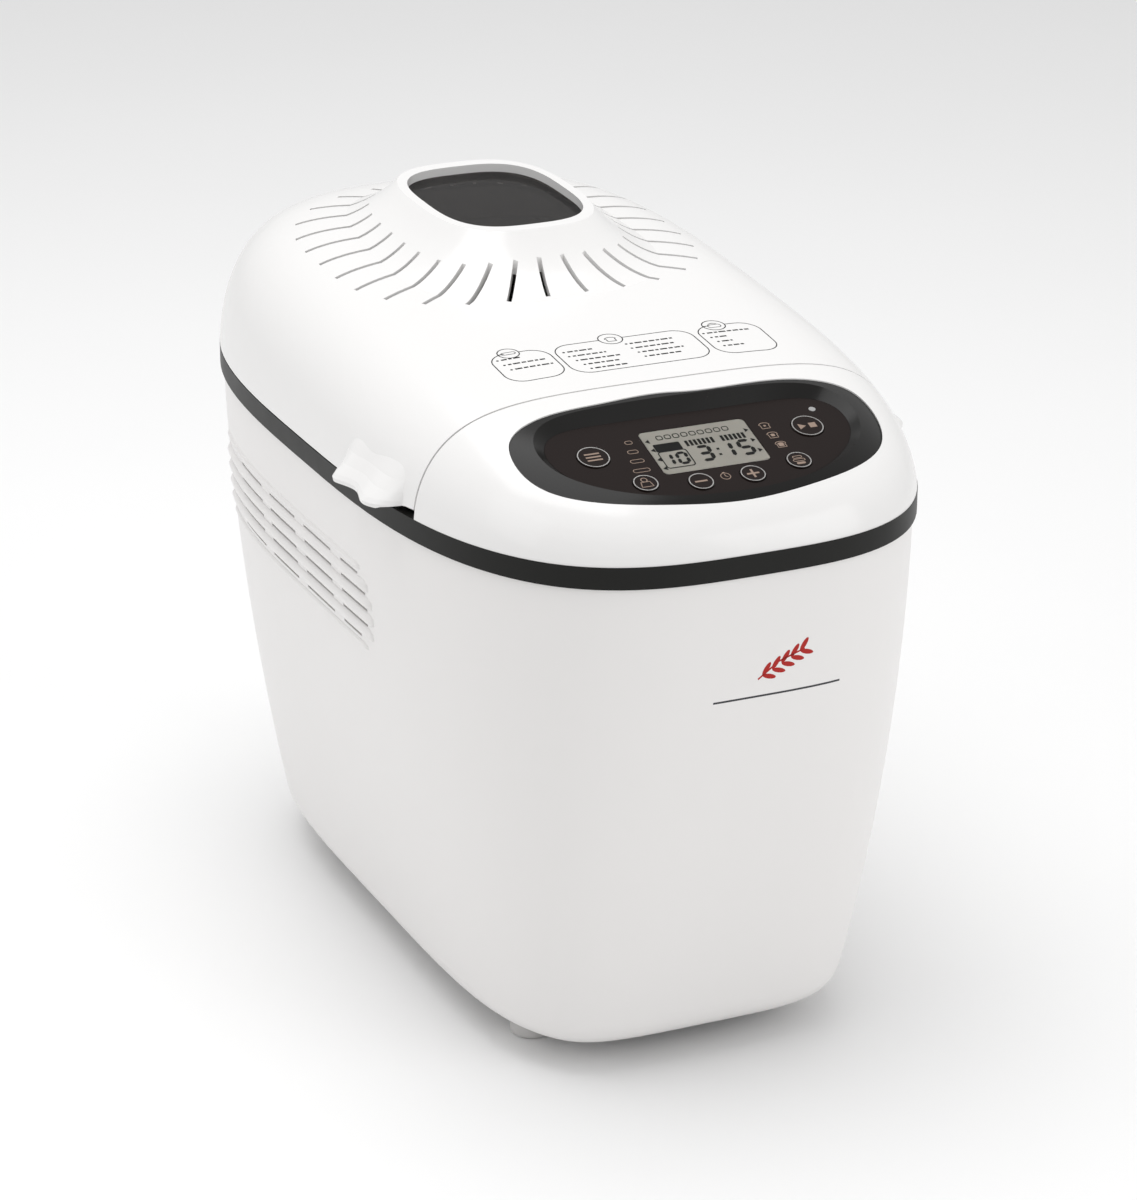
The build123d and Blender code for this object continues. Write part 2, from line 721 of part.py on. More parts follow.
def pan_socket(y):
    ring = cylinder(0, y, CAVITY_FLOOR + SHEET, CAVITY_FLOOR + SHEET + 9, 38.5)
    ring -= cylinder(0, y, CAVITY_FLOOR, CAVITY_FLOOR + 12, 36.5)
    ring += cylinder(0, y, CAVITY_FLOOR + SHEET, CAVITY_FLOOR + SHEET + 1.2, 38.5)
    return ring - cylinder(0, y, CAVITY_FLOOR, CAVITY_FLOOR + 5, 8)


# ---- drive ----
def bearing_housing(y):
    body = cylinder(0, y, CAVITY_FLOOR - 2.5, CAVITY_FLOOR, 22)
    body += cylinder(0, y, 49.5, CAVITY_FLOOR - 2.5, 13)
    return body - cylinder(0, y, 40, 80, 7)


def shaft_bush(y):
    return cylinder(0, y, 49.5, CAVITY_FLOOR, 7) - cylinder(0, y, 40, 80, SHAFT + RUNNING)


def drive_shaft(y):
    shaft = cylinder(0, y, 24, 71, SHAFT)
    hub = cylinder(0, y, 69.5, 74, 13)
    for side in (-1, 1):
        hub += block(side * 10 - 3, side * 10 + 3, y - 3, y + 3, 74, 81)
    return shaft + hub


def drive_pulley():
    """Large belt wheel with the link sprocket moulded on top."""
    y = DRIVE_Y[0]
    wheel = cylinder(0, y, 26, 38, PULLEY_R)
    wheel += cylinder(0, y, 25, 26, PULLEY_R + FLANGE) + cylinder(0, y, 38, 39, PULLEY_R + FLANGE)
    wheel += cylinder(0, y, 39, 47, SPROCKET_R)
    for number in range(6):
        wheel -= Pos(0, y, 0) * Rot(0, 0, 60 * number) * cylinder(30, 0, 20, 42, 9)
    return wheel - cylinder(0, y, 20, 50, SHAFT)


def link_sprocket():
    y = DRIVE_Y[1]
    wheel = cylinder(0, y, 40, 47, SPROCKET_R)
    wheel += cylinder(0, y, 39, 40, SPROCKET_R + FLANGE)
    return wheel - cylinder(0, y, 20, 50, SHAFT)


def belt(y0, r0, y1, r1, z0, z1):
    """Flat loop round two wheels, a little clear of both."""
    def loop(extra):
        a = Pos(0, y0, z0) * Circle(r0 + extra)
        b = Pos(0, y1, z0) * Circle(r1 + extra)
        hull = make_hull((a + b).edges())
        return extrude(hull, z1 - z0, dir=(0, 0, 1))
    return loop(BELT_CLEAR + BELT) - loop(BELT_CLEAR)


MOTOR_SHAFT = 3.0
MOTOR_BOTTOM = 62.0
MOTOR_TOP = 122.0
MOTOR_R = 31.0
FLANGE = 3.0


def motor():
    can = cylinder(0, MOTOR_Y, MOTOR_BOTTOM, MOTOR_TOP, MOTOR_R)
    can = chamfer(can.edges().filter_by(GeomType.CIRCLE), 2)
    can += cylinder(0, MOTOR_Y, MOTOR_BOTTOM - 2, MOTOR_BOTTOM, 9)
    can += cylinder(0, MOTOR_Y, MOTOR_TOP, MOTOR_TOP + 4, 9)
    for turn in range(8):
        slot = Rot(0, 0, 45 * turn) * block(MOTOR_R - 2, MOTOR_R + 2, -3, 3, 76, 108)
        can -= Pos(0, MOTOR_Y, 0) * slot
    return can - cylinder(0, MOTOR_Y, 50, 130, MOTOR_SHAFT + RUNNING)


def motor_shaft():
    return cylinder(0, MOTOR_Y, 25, MOTOR_TOP + 6, MOTOR_SHAFT)


def motor_pulley():
    wheel = cylinder(0, MOTOR_Y, 26, 38, MOTOR_PULLEY_R)
    wheel += cylinder(0, MOTOR_Y, 25, 26, MOTOR_PULLEY_R + FLANGE)
    wheel += cylinder(0, MOTOR_Y, 38, 39, MOTOR_PULLEY_R + FLANGE)
    return wheel - cylinder(0, MOTOR_Y, 20, 45, MOTOR_SHAFT)


def motor_bracket():
    plate = Pos(0, MOTOR_Y, 58) * extrude(RectangleRounded(88, 70, 8), 2, dir=(0, 0, 1))
    plate -= cylinder(0, MOTOR_Y, 50, 65, 10)
    base = FOOT_HEIGHT + SHELL + 3
    for sx in (-1, 1):
        for y in (MOTOR_Y - 8, MOTOR_Y + 28):
            plate += cylinder(sx * 38, y, base, 58, 4)
    return plate


def motor_capacitor():
    return cylinder(62, -120, FOOT_HEIGHT + SHELL + 3, 66, 13)


def power_board():
    board = block(-58, -56.4, -160, -100, 60, 128)
    board += block(-56.4, -38, -128, -104, 66, 92)
    board += block(-56.4, -44, -152, -140, 96, 112)
    board += Pos(-50, -118, 112) * Rot(0, 90, 0) * Cylinder(7, 13)
    return board


def cord_inlet():
    half_y = body_size(INLET_Z + INLET_R + 3)[1]
    gland = along_y(INLET_X, half_y - 8, half_y + 3.5, INLET_Z, INLET_R)
    gland += along_y(INLET_X, half_y + 0.1, half_y + 3.5, INLET_Z, INLET_R + 3)
    return gland - along_y(INLET_X, half_y - 20, half_y + 20, INLET_Z, 3.6)


# ---- bread pan ----
def bread_pan():
    taper = 4.0
    low = Pos(0, CAVITY_Y, PAN_BOTTOM) * RectangleRounded(
        2 * (PAN_HALF_X - taper), 2 * (PAN_HALF_Y - taper), 20
    )
    high = Pos(0, CAVITY_Y, PAN_TOP) * RectangleRounded(2 * PAN_HALF_X, 2 * PAN_HALF_Y, 24)
    pan = loft([low, high])
    low = Pos(0, CAVITY_Y, PAN_BOTTOM + PAN_WALL) * RectangleRounded(
        2 * (PAN_HALF_X - taper - PAN_WALL), 2 * (PAN_HALF_Y - taper - PAN_WALL), 18.5
    )
    high = Pos(0, CAVITY_Y, PAN_TOP + 0.01) * RectangleRounded(
        2 * (PAN_HALF_X - PAN_WALL), 2 * (PAN_HALF_Y - PAN_WALL), 22.5
    )
    pan -= loft([low, high])
    lip = rounded(PAN_HALF_X + 2, PAN_HALF_Y + 2, 26, PAN_TOP - 3, PAN_TOP, CAVITY_Y)
    lip -= rounded(PAN_HALF_X - PAN_WALL, PAN_HALF_Y - PAN_WALL, 22.5, 200, 220, CAVITY_Y)
    pan += lip
    for y in DRIVE_Y:
        pan -= cylinder(0, y, PAN_BOTTOM - 1, PAN_BOTTOM + 3, 9)
    return pan


def pan_foot(y):
    """Skirt under the pan that drops into its socket."""
    skirt = cylinder(0, y, 69.5, PAN_BOTTOM, 35.5) - cylinder(0, y, 60, PAN_BOTTOM - 1.5, 34)
    return skirt - cylinder(0, y, 60, 95, 9)


def pan_bearing(y):
    body = cylinder(0, y, 84.5, 95, 9)
    body += cylinder(0, y, PAN_BOTTOM + PAN_WALL, 91.5, 14)
    return body - cylinder(0, y, 80, 100, SHAFT + RUNNING)


def pan_seal(y):
    return cylinder(0, y, 95, 98, 8) - cylinder(0, y, 90, 100, SHAFT + RUNNING)


def handle_lug(end):
    """Ear riveted to the end wall of the pan; the wire handle turns in it."""
    y = CAVITY_Y + end * (PAN_HALF_Y + 2)
    ends = sorted((y, y + end * 1.6))
    ear = block(-11, 11, ends[0], ends[1], PAN_TOP - 14, HANDLE_Z - 4)
    ear += along_y(0, ends[0], ends[1], HANDLE_Z, 6)
    ear += block(-6, 6, ends[0], ends[1], HANDLE_Z - 5, HANDLE_Z)
    return ear - along_y(0, y - 5, y + 5, HANDLE_Z, WIRE + RUNNING)


def pan_handle():
    """Wire bail, folded down level at rest."""
    near = CAVITY_Y - PAN_HALF_Y - 6.2
    far = CAVITY_Y + PAN_HALF_Y + 6.2
    points = [
        (0, near + 3.8, HANDLE_Z),
        (0, near, HANDLE_Z),
        (HANDLE_REACH, near, HANDLE_Z),
        (HANDLE_REACH, far, HANDLE_Z),
        (0, far, HANDLE_Z),
        (0, far - 3.8, HANDLE_Z),
    ]
    path = FilletPolyline(*points, radius=[3.0, 10, 10, 3.0])
    section = Plane(origin=path @ 0, z_dir=path % 0) * Circle(WIRE)
    return sweep(section, path=path)


def handle_grip():
    """Turned sleeve on the middle of the bail."""
    grip = along_y(HANDLE_REACH, CAVITY_Y - 34, CAVITY_Y + 34, HANDLE_Z, 4.2)
    return grip - along_y(HANDLE_REACH, CAVITY_Y - 40, CAVITY_Y + 40, HANDLE_Z, WIRE)


def pan_spindle(y):
    """Spindle through the pan floor with its wing coupling below."""
    wing = block(-3, 3, y - 12, y + 12, 75.5, 82)
    wing += cylinder(0, y, 75.5, 84, 6.5)
    return wing + cylinder(0, y, 84, 118, SHAFT)


HUB_R = 8.5
PADDLE_BOTTOM = 99.0
HUB_TOP = 126.0
PADDLE_REACH = 42.0


def paddle(y, turn):
    """Kneading paddle: hub on the spindle and one swept blade."""
    hub = cylinder(0, 0, PADDLE_BOTTOM, HUB_TOP, HUB_R)
    top = Pos(0, 0, HUB_TOP) * Sphere(HUB_R)
    hub += top & block(-10, 10, -10, 10, HUB_TOP - 1, HUB_TOP + 14)
    bar = extrude(Pos(PADDLE_REACH / 2, 0) * SlotOverall(PADDLE_REACH, 6), 12, dir=(0, 0, 1))
    blade = Pos(0, 0, PADDLE_BOTTOM) * bar
    low = PADDLE_BOTTOM
    fin = Polyline((6, 0, low), (38, 0, low), (34, 0, 128), (20, 0, 120), (6, 0, 122), close=True)
    blade += extrude(make_face(fin), 1.8, dir=(0, 1, 0), both=True)
    body = hub + blade
    body -= cylinder(0, 0, 90, 118.2, SHAFT)
    return Pos(0, y, 0) * Rot(0, 0, turn) * body


def write_all():
    save("outer_housing", outer_housing())
    save("base_plate", base_plate())
    save("feet", solids([foot(x, y) for x, y in FEET]))
    save("base_screws", solids([base_screw(x, y) for x, y in base_screw_places()]))
    save("rim_band", rim_band())
    save("hinge_pins", solids([hinge_pin(side) for side in (-1, 1)]))
    save("inner_deck", inner_deck())
    save("control_deck", control_deck())
    save("panel_bezel", panel_bezel())
    save("panel_overlay", panel_overlay())
    save("lcd_lens", lcd_lens())
    save("lcd_module", lcd_module())
    save("control_board", control_board())
    save("tact_switches", solids([tact_switch(x, y) for x, y, _ in BUTTONS.values()]))
    save("board_screws", solids([board_screw(x, y) for x, y in board_screw_places()]))
    save("status_led", status_led())
    for name, (x, y, radius) in BUTTONS.items():
        save(name, button(x, y, radius))
    save("oven_cavity", oven_cavity())
    save("heating_element", heating_element())
    clips = [(x, y) for x in (-69, 69) for y in (-20, 100)]
    save("element_clips", solids([element_clip(x, y) for x, y in clips]))
    save("temperature_probe", temperature_probe())
    save("thermal_fuse", thermal_fuse())
    save("pan_sockets", solids([pan_socket(y) for y in DRIVE_Y]))
    save("bearing_housings", solids([bearing_housing(y) for y in DRIVE_Y]))
    save("shaft_bushes", solids([shaft_bush(y) for y in DRIVE_Y]))
    save("motor", motor())
    save("motor_bracket", motor_bracket())
    save("motor_capacitor", motor_capacitor())
    save("motor_shaft", motor_shaft())
    save("motor_pulley", motor_pulley())
    save("power_board", power_board())
    save("cord_inlet", cord_inlet())
    save("drive_belt", belt(MOTOR_Y, MOTOR_PULLEY_R, DRIVE_Y[0], PULLEY_R, 26.6, 37.4))
    save("link_belt", belt(DRIVE_Y[0], SPROCKET_R, DRIVE_Y[1], SPROCKET_R, 40.5, 46.5))
    save("drive_pulley", drive_pulley())
    save("link_sprocket", link_sprocket())
    for name, y in zip(("front", "rear"), DRIVE_Y):
        save(f"drive_shaft_{name}", drive_shaft(y))
        save(f"pan_spindle_{name}", pan_spindle(y))
    save("paddle_front", paddle(DRIVE_Y[0], 0))
    save("paddle_rear", paddle(DRIVE_Y[1], 180))
    save("bread_pan", bread_pan())
    save("pan_feet", solids([pan_foot(y) for y in DRIVE_Y]))
    save("pan_bearings", solids([pan_bearing(y) for y in DRIVE_Y]))
    save("pan_seals", solids([pan_seal(y) for y in DRIVE_Y]))
    save("handle_lugs", solids([handle_lug(end) for end in (-1, 1)]))
    save("pan_handle", pan_handle())
    save("handle_grip", handle_grip())
    save("lid_shell", lid_shell())
    save("lid_liner", lid_liner())
    save("lid_gasket", lid_gasket())
    save("lid_screws", solids([lid_screw(x, y) for x, y in lid_screw_places()]))
    save("window_glass", window_glass())
    save("liner_glass", liner_glass())


write_all()
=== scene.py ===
import bpy
from math import cos, pi, radians, sin, sqrt
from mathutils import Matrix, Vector
from mathutils.bvhtree import BVHTree


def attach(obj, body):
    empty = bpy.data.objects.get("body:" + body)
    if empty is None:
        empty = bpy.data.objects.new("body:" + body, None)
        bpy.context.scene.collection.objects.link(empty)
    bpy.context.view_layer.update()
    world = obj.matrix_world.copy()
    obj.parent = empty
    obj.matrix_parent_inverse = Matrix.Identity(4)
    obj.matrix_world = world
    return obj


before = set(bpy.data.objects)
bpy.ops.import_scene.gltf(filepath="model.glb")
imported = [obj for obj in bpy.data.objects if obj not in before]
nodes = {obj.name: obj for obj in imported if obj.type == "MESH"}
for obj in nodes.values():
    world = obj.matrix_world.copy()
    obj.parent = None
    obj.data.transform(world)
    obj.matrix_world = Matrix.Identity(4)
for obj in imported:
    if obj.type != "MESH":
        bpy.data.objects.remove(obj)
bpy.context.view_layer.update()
MM = 0.001

# Bread machine in metres: front towards -Y, +Z up, floor at z = 0.
# Marks are drawn flat in millimetres and turned into metres where they are placed.

# How far marks stand above the surface they are printed on, and how deep their undersides reach.
PRINT_LIFT = 0.00004
PRINT_SINK = 0.00004
RING_LIFT = 0.00012
ICON_LIFT = 0.00005


# ---- materials ----
DRIFT_SCALE = 9
PATCH_SCALE = 55
SKIN_STRENGTH = 0.25
GRAIN_STRENGTH = 0.3
COAT_ROUGHNESS = 0.08
FLECK_SCALE = 1500
FLECK_DEPTH = 0.000006
SMEAR_SCALE = 30
GLASS_IOR = 1.12


def new_material(name):
    mat = bpy.data.materials.new(name)
    mat.use_nodes = True
    tree = mat.node_tree
    shader = tree.nodes["Principled BSDF"]
    return mat, tree, shader


def noise(tree, scale, detail=3.0, stretch=(1, 1, 1)):
    """Noise in the object's own metres; returns the noise node."""
    place = tree.nodes.new("ShaderNodeTexCoord")
    mapping = tree.nodes.new("ShaderNodeMapping")
    mapping.inputs["Scale"].default_value = stretch
    tree.links.new(place.outputs["Object"], mapping.inputs["Vector"])
    node = tree.nodes.new("ShaderNodeTexNoise")
    node.inputs["Scale"].default_value = scale
    node.inputs["Detail"].default_value = detail
    tree.links.new(mapping.outputs["Vector"], node.inputs["Vector"])
    return node


def spread(tree, source, low, high, socket):
    """Feeds a socket with the source stretched between two values."""
    node = tree.nodes.new("ShaderNodeMapRange")
    node.inputs["From Min"].default_value = 0.3
    node.inputs["From Max"].default_value = 0.7
    node.inputs["To Min"].default_value = low
    node.inputs["To Max"].default_value = high
    tree.links.new(source, node.inputs["Value"])
    tree.links.new(node.outputs["Result"], socket)


def two_tone(tree, source, first, second, socket):
    """Feeds a colour socket with a blend of two colours steered by the source."""
    mix = tree.nodes.new("ShaderNodeMix")
    mix.data_type = "RGBA"
    mix.inputs[6].default_value = (*first, 1)
    mix.inputs[7].default_value = (*second, 1)
    tree.links.new(source, mix.inputs[0])
    tree.links.new(mix.outputs[2], socket)


def bump(tree, source, shader, strength, distance):
    """Raises the shaded surface by up to distance metres where the source is high."""
    node = tree.nodes.new("ShaderNodeBump")
    node.inputs["Strength"].default_value = strength
    node.inputs["Distance"].default_value = distance
    tree.links.new(source, node.inputs["Height"])
    tree.links.new(node.outputs["Normal"], shader.inputs["Normal"])


def plastic(name, color, rough, grain=900, depth=0.00003, tone=0.03, coat=0.0, shine=0.5):
    """Moulded plastic: faint colour drift, uneven gloss and a fine skin texture."""
    mat, tree, shader = new_material(name)
    drift = noise(tree, DRIFT_SCALE, 4)
    darker = tuple(c * (1 - tone) for c in color)
    two_tone(tree, drift.outputs["Fac"], darker, color, shader.inputs["Base Color"])
    patches = noise(tree, PATCH_SCALE, 5)
    spread(tree, patches.outputs["Fac"], rough * 0.95, rough * 1.05, shader.inputs["Roughness"])
    skin = noise(tree, grain, 2)
    bump(tree, skin.outputs["Fac"], shader, SKIN_STRENGTH, depth)
    shader.inputs["Specular IOR Level"].default_value = shine
    shader.inputs["Coat Weight"].default_value = coat
    shader.inputs["Coat Roughness"].default_value = COAT_ROUGHNESS
    return mat


def ink(name, color, rough, tone):
    """Thin matt print."""
    return plastic(name, color, rough, 2500, 0.000002, tone, 0.0, 0.2)


def metal(name, color, rough, stretch=(1, 1, 1), grain=500, depth=0.000002):
    """Metal with a drawn or brushed grain."""
    mat, tree, shader = new_material(name)
    shader.inputs["Metallic"].default_value = 1.0
    lines = noise(tree, grain, 4, stretch)
    darker = tuple(c * 0.86 for c in color)
    two_tone(tree, lines.outputs["Fac"], darker, color, shader.inputs["Base Color"])
    spread(tree, lines.outputs["Fac"], rough * 0.8, rough * 1.25, shader.inputs["Roughness"])
    bump(tree, lines.outputs["Fac"], shader, GRAIN_STRENGTH, depth)
    return mat


def coating(name, color, rough, fleck):
    """Non-stick coating: dark, slightly metallic, with fine flecks."""
    mat, tree, shader = new_material(name)
    shader.inputs["Metallic"].default_value = 0.35
    flecks = noise(tree, FLECK_SCALE, 2)
    two_tone(tree, flecks.outputs["Fac"], color, fleck, shader.inputs["Base Color"])
    spread(tree, flecks.outputs["Fac"], rough * 0.85, rough * 1.2, shader.inputs["Roughness"])
    bump(tree, flecks.outputs["Fac"], shader, GRAIN_STRENGTH, FLECK_DEPTH)
    return mat


def glass(name, color, rough):
    """Clear or tinted pane with faint smears in its gloss."""
    mat, tree, shader = new_material(name)
    shader.inputs["Transmission Weight"].default_value = 1.0
    shader.inputs["IOR"].default_value = GLASS_IOR
    smear = noise(tree, SMEAR_SCALE, 3)
    darker = tuple(c * 0.92 for c in color)
    two_tone(tree, smear.outputs["Fac"], darker, color, shader.inputs["Base Color"])
    spread(tree, smear.outputs["Fac"], rough * 0.7, rough * 1.3, shader.inputs["Roughness"])
    return mat


M = {
    "casing": plastic("casing white", (0.81, 0.795, 0.785), 0.32, 300, 0.0000004, 0.008),
    "lid": plastic("lid white", (0.83, 0.822, 0.815), 0.24, 300, 0.0000004, 0.008, 0.2),
    "band": plastic("band black", (0.008, 0.008, 0.007), 0.42, 1400, 0.000002, 0.12, 0.0, 0.22),
    "foot": plastic("foot grey", (0.56, 0.55, 0.54), 0.5, 1200, 0.000003, 0.05),
    "base": plastic("base grey", (0.20, 0.20, 0.20), 0.55, 600, 0.000003, 0.06),
    "deck": plastic("deck grey", (0.40, 0.40, 0.41), 0.45, 600, 0.000001, 0.03),
    "bezel": plastic("bezel black", (0.008, 0.0075, 0.007), 0.24, 900, 0.000001, 0.15, 0.0, 0.24),
    "fascia": plastic(
        "fascia brown", (0.013, 0.0075, 0.0065), 0.20, 1800, 0.000001, 0.25, 0.0, 0.13
    ),
    "lcd": plastic("display grey", (0.37, 0.355, 0.325), 0.4, 1500, 0.000002, 0.05, 0.0, 0.1),
    "segment": plastic("display segment", (0.006, 0.006, 0.006), 0.5, 1500, 0.000002, 0.1, 0.0, 0.1),
    "print_taupe": ink("printed taupe", (0.30, 0.22, 0.175), 0.5, 0.08),
    "print_black": ink("printed black", (0.012, 0.012, 0.012), 0.5, 0.1),
    "print_red": ink("printed wheat red", (0.42, 0.020, 0.016), 0.45, 0.08),
    "print_grey": ink("printed grey", (0.055, 0.055, 0.06), 0.45, 0.08),
    "black": plastic("moulded black", (0.025, 0.025, 0.025), 0.5, 1000, 0.000006, 0.12),
    "led": plastic("indicator white", (0.34, 0.34, 0.34), 0.3, 900, 0.000001, 0.04),
    "pulley": plastic("nylon white", (0.68, 0.66, 0.60), 0.45, 800, 0.000005, 0.06),
    "rubber": plastic("rubber black", (0.02, 0.02, 0.02), 0.75, 900, 0.00001, 0.2),
    "gasket": plastic("gasket silicone", (0.16, 0.16, 0.16), 0.6, 600, 0.000002, 0.05),
    "seal": plastic("seal silicone", (0.32, 0.07, 0.05), 0.55, 900, 0.000006, 0.1),
    "board": plastic("circuit board", (0.03, 0.14, 0.06), 0.4, 400, 0.000004, 0.2),
    "steel": metal("machined steel", (0.58, 0.58, 0.59), 0.30),
    "sheet": metal("cavity sheet", (0.62, 0.62, 0.61), 0.34, (1, 1, 12), 260),
    "element": metal("element sheath", (0.26, 0.25, 0.24), 0.42, (1, 1, 1), 700),
    "alloy": metal("cast alloy", (0.60, 0.60, 0.61), 0.40, (1, 1, 1), 900, 0.000006),
    "bronze": metal("bush bronze", (0.60, 0.42, 0.22), 0.38),
    "wire": metal("polished wire", (0.78, 0.78, 0.78), 0.14, (1, 1, 1), 400, 0.000001),
    "silver": metal("silver print", (0.50, 0.49, 0.48), 0.30, (1, 1, 1), 1500, 0.000002),
    "motor": metal("motor can", (0.40, 0.40, 0.41), 0.36, (1, 1, 14), 240),
    "nonstick": coating("non-stick grey", (0.045, 0.045, 0.048), 0.36, (0.11, 0.11, 0.115)),
    "lens": glass("display lens", (0.93, 0.93, 0.90), 0.04),
    "window": glass("window glass", (0.36, 0.325, 0.31), 0.03),
}

PAINT = {
    "casing": ["outer_housing"],
    "lid": ["lid_shell", "control_deck"],
    "band": ["rim_band"],
    "foot": ["feet"],
    "base": ["base_plate"],
    "deck": ["inner_deck"],
    "bezel": ["panel_bezel"],
    "fascia": [
        "panel_overlay", "menu_button", "start_stop_button", "weight_button",
        "colour_button", "minus_button", "plus_button",
    ],
    "lcd": ["lcd_module"],
    "black": ["tact_switches", "thermal_fuse", "motor_capacitor", "cord_inlet", "handle_grip"],
    "led": ["status_led"],
    "pulley": ["drive_pulley", "link_sprocket"],
    "rubber": ["drive_belt", "link_belt"],
    "gasket": ["lid_gasket"],
    "seal": ["pan_seals"],
    "board": ["control_board", "power_board"],
    "steel": [
        "base_screws", "hinge_pins", "board_screws", "lid_screws", "temperature_probe",
        "motor_shaft", "drive_shaft_front", "drive_shaft_rear", "pan_spindle_front",
        "pan_spindle_rear", "handle_lugs",
    ],
    "sheet": ["oven_cavity", "element_clips", "pan_sockets", "motor_bracket", "lid_liner"],
    "element": ["heating_element"],
    "alloy": ["bearing_housings", "motor_pulley", "pan_feet", "pan_bearings"],
    "bronze": ["shaft_bushes"],
    "wire": ["pan_handle"],
    "motor": ["motor"],
    "nonstick": ["bread_pan", "paddle_front", "paddle_rear"],
    "lens": ["lcd_lens"],
    "window": ["window_glass", "liner_glass"],
}


def paint_nodes():
    for key, names in PAINT.items():
        for name in names:
            for holder in nodes[name].material_slots:
                holder.material = M[key]


# ---- surfaces to print on ----
def surface(name):
    """Search tree over a CAD node's faces, for finding points on it."""
    mesh = nodes[name].data
    points = [v.co.copy() for v in mesh.vertices]
    return BVHTree.FromPolygons(points, [tuple(p.vertices) for p in mesh.polygons])


def from_above(tree):
    """Places (x, y) on the surface as seen from straight above."""
    def place(u, v):
        hit, normal, _, _ = tree.ray_cast(Vector((u, v, 1.0)), Vector((0, 0, -1)))
        return hit, normal
    return place


def from_front(tree):
    """Places (x, z) on the surface as seen from straight in front."""
    def place(u, v):
        hit, normal, _, _ = tree.ray_cast(Vector((u, -1.0, v)), Vector((0, 1, 0)))
        return hit, normal
    return place


PANEL_TILT = radians(17.7)
PANEL_AT = Vector((0, -0.150, 0.2829))
PANEL_UP = Vector((0, cos(PANEL_TILT), sin(PANEL_TILT)))
PANEL_OUT = Vector((0, -sin(PANEL_TILT), cos(PANEL_TILT)))


def on_panel(height=0.0):
    """Places (across, up the slope) on the tilted panel's plane, height metres above it."""
    def place(u, v):
        return PANEL_AT + Vector((u, 0, 0)) + PANEL_UP * v + PANEL_OUT * height, PANEL_OUT
    return place


# ---- printed and inlaid marks ----
def spaced(points, closed, step):
    """The same outline with points no further apart than step."""
    ends = points + [points[0]] if closed else points
    out = []
    for (x0, y0), (x1, y1) in zip(ends, ends[1:]):
        parts = max(1, int(sqrt((x1 - x0) ** 2 + (y1 - y0) ** 2) / step + 0.5))
        for part in range(parts):
            out.append((x0 + (x1 - x0) * part / parts, y0 + (y1 - y0) * part / parts))
    if not closed:
        out.append(points[-1])
    return out


def stroke(points, width, closed=False, step=1.5):
    """Line of even width, closed or open."""
    return {"line": spaced(points, closed, step), "width": width, "closed": closed}


def patch(points):
    """Filled outline."""
    return {"fill": points}


def circle(x, y, radius, count):
    turns = [2 * pi * i / count for i in range(count)]
    return [(x + radius * cos(turn), y + radius * sin(turn)) for turn in turns]


def ring(x, y, radius, width, count=40):
    return {"line": circle(x, y, radius, count), "width": width, "closed": True}


def disc(x, y, radius, count=24):
    return patch(circle(x, y, radius, count))


def bar(x0, y0, x1, y1):
    return patch([(x0, y0), (x1, y0), (x1, y1), (x0, y1)])


def rounded_box(x0, y0, x1, y1, corner, steps=6):
    """Outline of a box with round corners, anticlockwise from its right side."""
    points = []
    for cx, cy, start in (
        (x1 - corner, y1 - corner, 0), (x0 + corner, y1 - corner, 90),
        (x0 + corner, y0 + corner, 180), (x1 - corner, y0 + corner, 270),
    ):
        for i in range(steps + 1):
            turn = radians(start + 90 * i / steps)
            points.append((cx + corner * cos(turn), cy + corner * sin(turn)))
    return points


def stroke_sides(mark):
    """The two edges of a stroke, half its width either side of its line."""
    line, width, closed = mark["line"], mark["width"], mark["closed"]
    count = len(line)
    left, right = [], []
    for i, (x, y) in enumerate(line):
        before = line[i - 1] if closed or i > 0 else line[i]
        after = line[(i + 1) % count] if closed or i < count - 1 else line[i]
        dx, dy = after[0] - before[0], after[1] - before[1]
        size = sqrt(dx * dx + dy * dy) or 1.0
        nx, ny = -dy / size * width / 2, dx / size * width / 2
        left.append((x + nx, y + ny))
        right.append((x - nx, y - ny))
    return left, right


def mark_mesh(name, marks, place, lift, material, body, sink=PRINT_SINK):
    """Thin closed inlay for each stroke or filled patch, following a surface."""
    verts, faces = [], []

    def layer(points, height):
        start = len(verts)
        for u, v in points:
            hit, normal = place(u * MM, v * MM)
            verts.append(hit + normal * height)
        return start

    for mark in marks:
        if "fill" in mark:
            points = mark["fill"]
            n = len(points)
            low, top = layer(points, -sink), layer(points, lift)
            faces.append([top + i for i in range(n)])
            faces.append([low + i for i in reversed(range(n))])
            for i in range(n):
                j = (i + 1) % n
                faces.append([low + i, low + j, top + j, top + i])
            continue
        left, right = stroke_sides(mark)
        n = len(left)
        ll, rl = layer(left, -sink), layer(right, -sink)
        lt, rt = layer(left, lift), layer(right, lift)
        for i in range(n if mark["closed"] else n - 1):
            j = (i + 1) % n
            faces.append([rt + i, rt + j, lt + j, lt + i])
            faces.append([ll + i, ll + j, rl + j, rl + i])
            faces.append([lt + i, lt + j, ll + j, ll + i])
            faces.append([rl + i, rl + j, rt + j, rt + i])
        if not mark["closed"]:
            faces.append([rl, rt, lt, ll])
            e = n - 1
            faces.append([ll + e, lt + e, rt + e, rl + e])
    return piece(name, verts, faces, material, body)


def piece(name, verts, faces, material, body, smooth=False):
    """Adds a mesh that rides on a body and takes the given material in a slot."""
    mesh = bpy.data.meshes.new(name)
    mesh.from_pydata([tuple(v) for v in verts], [], faces)
    mesh.validate()
    mesh.materials.append(material)
    for polygon in mesh.polygons:
        polygon.use_smooth = smooth
    obj = bpy.data.objects.new(name, mesh)
    bpy.context.scene.collection.objects.link(obj)
    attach(obj, body)
    return obj


# ---- display ----
SEGMENTS = {"0": "abcdef", "1": "bc", "3": "abcdg", "5": "acdfg"}


